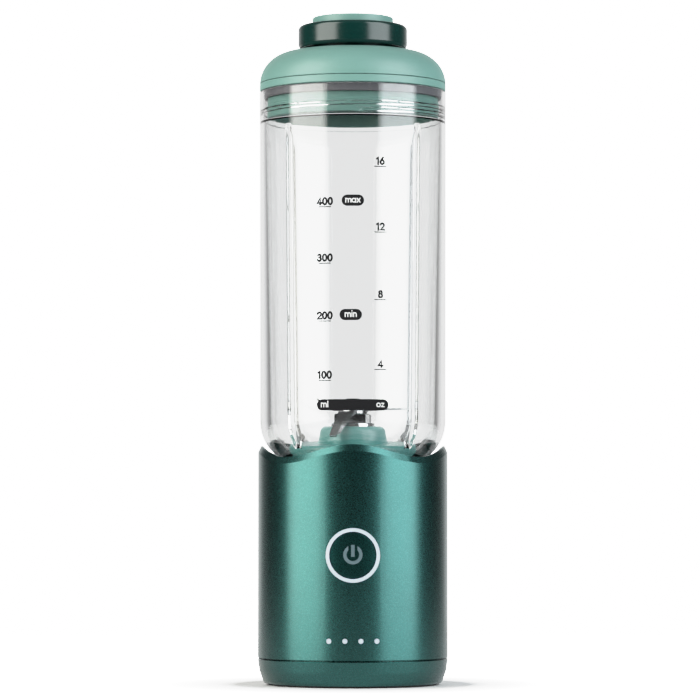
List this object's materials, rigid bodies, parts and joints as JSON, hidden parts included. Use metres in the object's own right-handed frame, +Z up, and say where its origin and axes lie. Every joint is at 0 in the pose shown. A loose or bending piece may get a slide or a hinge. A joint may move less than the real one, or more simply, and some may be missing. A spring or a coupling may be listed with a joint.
{
  "type": "cordless cup blender",
  "caption": "Tall round battery blender: metallic base with a push button and wavy rim, clear bayonet cup over a bladed platform, screw lid with a twist cap on its spout.",
  "frame": {"origin": "centre of the underside, on the axis of the cup and the blades", "axes": "+Z up along the blade shaft, -Y to the front with the button, +X to the right seen from the front"},
  "size_m": [0.0814, 0.0814, 0.2876],
  "materials": {
    "metallic_green": "metallic paint, satin",
    "button_green": "satin",
    "deep_green": "gloss",
    "sage": "soft satin",
    "clear": "clear gloss",
    "grey_silicone": "matt",
    "green_silicone": "matt",
    "black_rubber": "matt",
    "black_plastic": "satin",
    "white_acetal": "satin",
    "light_ring": "frosted",
    "icon_grey": "printed",
    "chrome": "polished",
    "blade_steel": "ground",
    "steel": "plated",
    "iron": "laminated",
    "copper": "enamelled wire",
    "carbon": "pressed carbon",
    "cell_wrap": "shrink wrapped",
    "nickel": "strip",
    "board_green": "solder mask",
    "wire_red": "PVC"
  },
  "bodies": {
    "base": {"base_housing": "metallic_green", "base_cover": "metallic_green", "blade_platform": "sage", "shaft_seal": "grey_silicone", "foot_ring": "black_rubber", "socket_ring": "black_plastic", "interlock_switch": "black_plastic", "motor_endcap": "black_plastic", "battery_cradle": "black_plastic", "battery_cap": "black_plastic", "board_components": "black_plastic", "button_switch": "black_plastic", "button_ring": "light_ring", "light_pipes": "light_ring", "led_chips": "light_ring", "hub_sleeve": "chrome", "cover_screws": "steel", "socket_screws": "steel", "platform_screws": "steel", "motor_screws": "steel", "board_screws": "steel", "shaft_bearings": "steel", "motor_bearings": "steel", "motor_can": "steel", "motor_bracket": "steel", "interlock_spring": "steel", "usb_socket": "steel", "motor_magnets": "iron", "motor_brushes": "carbon", "battery_cells": "cell_wrap", "battery_tabs": "nickel", "main_board": "board_green", "control_board": "board_green", "motor_wires": "wire_red", "battery_wires": "wire_red"},
    "rotor": {"blade_lower": "blade_steel", "blade_upper": "blade_steel", "blade_washer": "blade_steel", "blade_nut": "blade_steel", "blade_shaft": "blade_steel", "shaft_coupling": "steel", "motor_shaft": "steel", "armature_core": "iron", "armature_windings": "copper", "commutator": "copper"},
    "button": {"button_cap": "button_green", "button_icon": "icon_grey"},
    "interlock": {"interlock_pin": "white_acetal"},
    "port_flap": {"port_flap": "green_silicone"},
    "vessel_seal": {"vessel_seal": "grey_silicone"},
    "cup": {"cup": "clear"},
    "lid_seal": {"lid_gasket": "grey_silicone"},
    "lid": {"lid_liner": "sage", "lid_dome": "sage"},
    "cap_seal": {"cap_seal": "grey_silicone"},
    "cap": {"cap_band": "deep_green", "cap_sleeve": "deep_green", "cap_insert": "sage"}
  },
  "joints": [
    {"name": "blade_spin", "type": "hinge", "parent": "base", "child": "rotor", "pos_m": [0, 0, 0.1], "axis": [0, 0, 1], "continuous": true},
    {"name": "button_press", "type": "slide", "parent": "base", "child": "button", "axis": [0, 1, 0], "range_m": [0, 0.0008], "stiffness_N_per_m": 600},
    {"name": "interlock_press", "type": "slide", "parent": "base", "child": "interlock", "axis": [0, 0, -1], "range_m": [0, 0.0015], "stiffness_N_per_m": 100, "springref_m": -0.001, "deforming": ["interlock_spring"]},
    {"name": "port_flap_swing", "type": "hinge", "parent": "base", "child": "port_flap", "pos_m": [0, 0.0405, 0.0201], "axis": [-1, 0, 0], "range_deg": [0, 110]},
    {"name": "cup_turn", "type": "hinge", "parent": "base", "child": "vessel_seal", "pos_m": [0, 0, 0.086], "axis": [0, 0, 1], "range_deg": [-20, 0]},
    {"name": "cup_lift", "type": "slide", "parent": "vessel_seal", "child": "cup", "axis": [0, 0, 1], "range_m": [0, 0.05]},
    {"name": "lid_lift", "type": "slide", "parent": "cup", "child": "lid_seal", "axis": [0, 0, 1], "range_m": [0, 0.04]},
    {"name": "lid_turn", "type": "hinge", "parent": "lid_seal", "child": "lid", "pos_m": [0, 0, 0.254], "axis": [0, 0, 1], "range_deg": [0, 450]},
    {"name": "cap_lift", "type": "slide", "parent": "lid", "child": "cap_seal", "axis": [0, 0, 1], "range_m": [0, 0.025]},
    {"name": "cap_turn", "type": "hinge", "parent": "cap_seal", "child": "cap", "pos_m": [0, 0, 0.282], "axis": [0, 0, 1], "range_deg": [0, 450]}
  ],
  "couplings": [
    {"joint": "interlock_press", "follows": "cup_turn", "m_per_rad": -0.004297}
  ]
}
